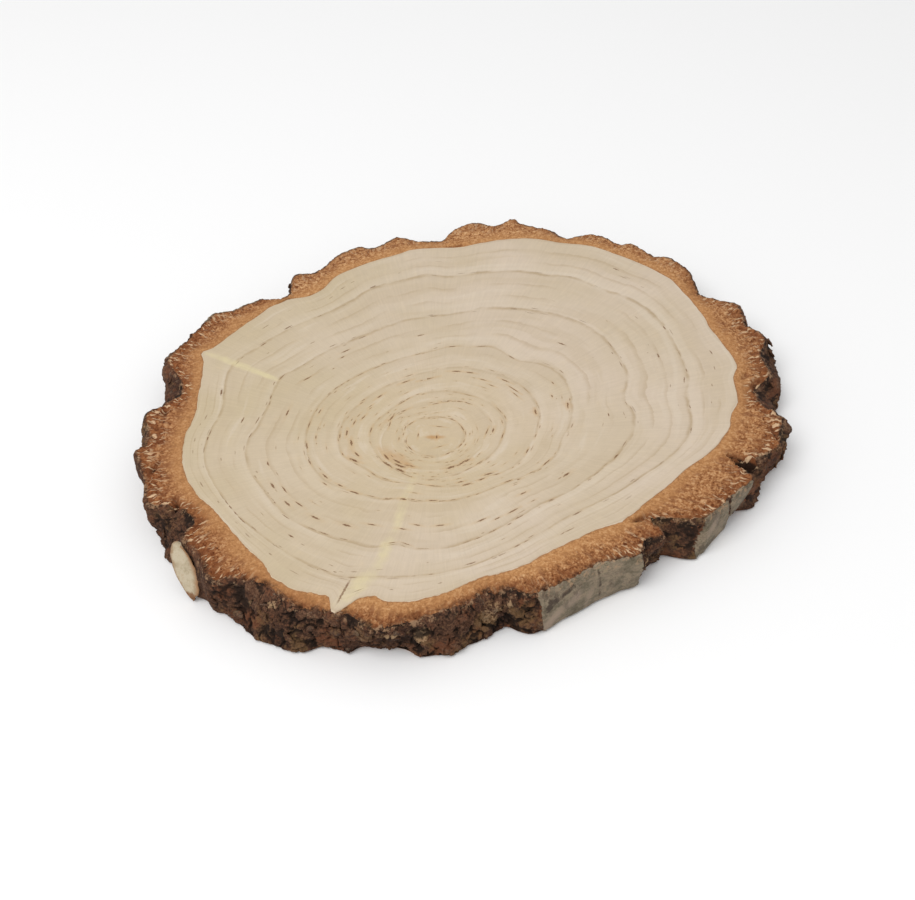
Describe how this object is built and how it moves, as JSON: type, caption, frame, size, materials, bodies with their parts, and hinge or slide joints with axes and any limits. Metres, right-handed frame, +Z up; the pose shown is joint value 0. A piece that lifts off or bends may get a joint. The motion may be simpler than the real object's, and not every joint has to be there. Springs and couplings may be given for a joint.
{
  "type": "wood slice",
  "caption": "Flat cross-cut slice of birch trunk with its bark on: a lobed natural disc with growth rings, sawn flat on both faces, used as a stand, coaster or decoration.",
  "frame": {"origin": "the middle of the bounding box, on the flat underside that the slice rests on", "axes": "+Z up, square to the sawn faces and along the trunk's own length; +X and +Y lie in the underside, with the two branch traces towards -X and -Y"},
  "size_m": [0.2056, 0.2012, 0.015],
  "materials": {
    "sawn_wood": "bare sawn birch wood, matte, with faint brown growth rings",
    "cut_bark": "sawn inner bark, matte orange-brown, grainy",
    "rough_bark": "cracked outer bark, dark charcoal brown with grey and rusty patches, very rough",
    "silver_bark": "smooth papery birch bark, silver grey to cream, satin"
  },
  "bodies": {
    "root": {"wood_slice": "sawn_wood"}
  },
  "joints": []
}
